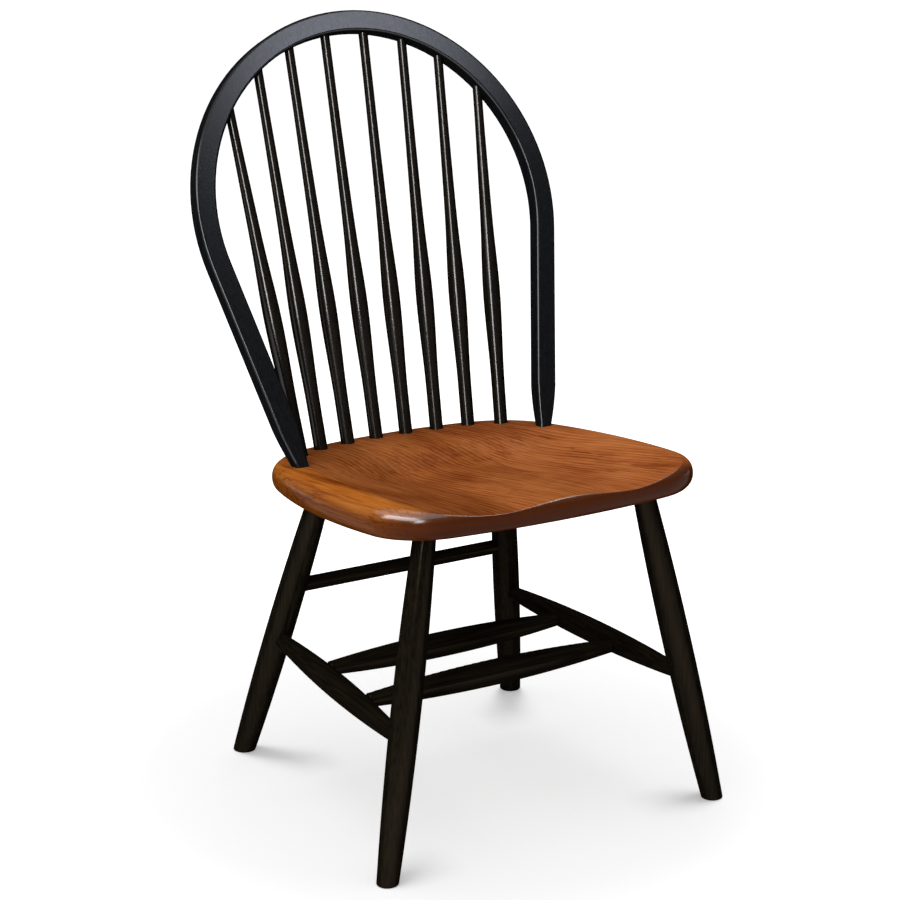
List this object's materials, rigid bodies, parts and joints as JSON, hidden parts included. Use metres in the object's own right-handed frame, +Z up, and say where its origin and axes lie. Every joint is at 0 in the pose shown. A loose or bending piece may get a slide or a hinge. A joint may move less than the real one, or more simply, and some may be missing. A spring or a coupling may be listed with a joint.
{
  "type": "spindle back dining chair",
  "caption": "Bow back dining chair: a saddled wooden seat on splayed turned legs braced by swelled stretchers, with turned spindles under a bent bow.",
  "frame": {"origin": "on the floor, in the middle of the overall width and depth", "axes": "+Z up, -Y towards the front of the seat, +X towards the left hand of the person who sits on it"},
  "size_m": [0.523, 0.5737, 0.9685],
  "materials": {
    "stained_seat_wood": "clear satin varnish over a warm brown stain",
    "black_painted_wood": "satin black paint"
  },
  "bodies": {
    "root": {"bow": "black_painted_wood", "cross_stretcher_front": "black_painted_wood", "cross_stretcher_rear": "black_painted_wood", "leg_front_left": "black_painted_wood", "leg_front_right": "black_painted_wood", "leg_rear_left": "black_painted_wood", "leg_rear_right": "black_painted_wood", "rear_stretcher": "black_painted_wood", "seat": "stained_seat_wood", "side_stretcher_left": "black_painted_wood", "side_stretcher_right": "black_painted_wood", "spindle_1": "black_painted_wood", "spindle_2": "black_painted_wood", "spindle_3": "black_painted_wood", "spindle_4": "black_painted_wood", "spindle_5": "black_painted_wood", "spindle_6": "black_painted_wood", "spindle_7": "black_painted_wood", "spindle_8": "black_painted_wood"}
  },
  "joints": []
}
